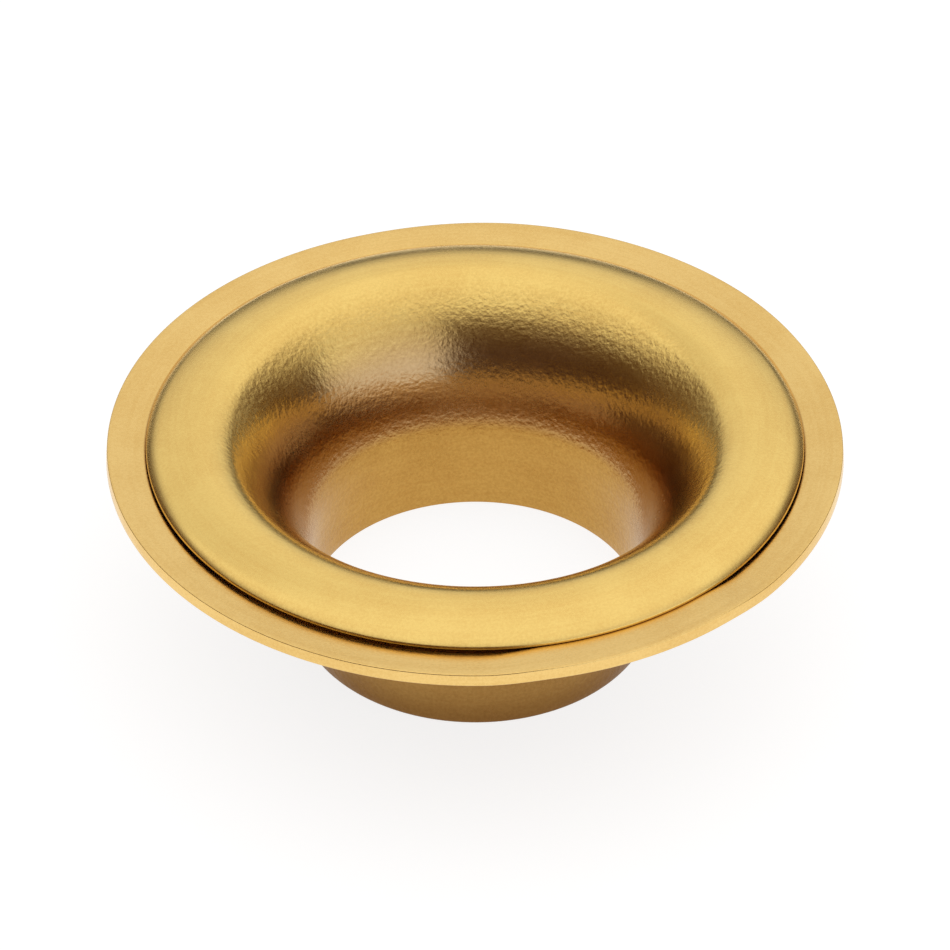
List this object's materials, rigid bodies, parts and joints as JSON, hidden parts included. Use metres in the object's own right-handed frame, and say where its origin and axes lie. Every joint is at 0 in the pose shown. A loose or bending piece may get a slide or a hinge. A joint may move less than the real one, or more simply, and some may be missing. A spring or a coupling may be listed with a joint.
{
  "type": "grommet eyelet",
  "caption": "Brass grommet eyelet with a crowned flange, a bell-mouthed throat and a straight barrel, seated on its dished washer.",
  "frame": {"origin": "centre of the barrel's open end, which is the lowest point", "axes": "+Z along the bore axis, from the barrel's end to the flange. The part is round, so +X and +Y are free"},
  "size_m": [0.0174, 0.0174, 0.0057],
  "materials": {
    "brass_eyelet": "satin",
    "brass_washer": "satin"
  },
  "bodies": {
    "root": {"eyelet": "brass_eyelet", "washer": "brass_washer"}
  },
  "joints": []
}
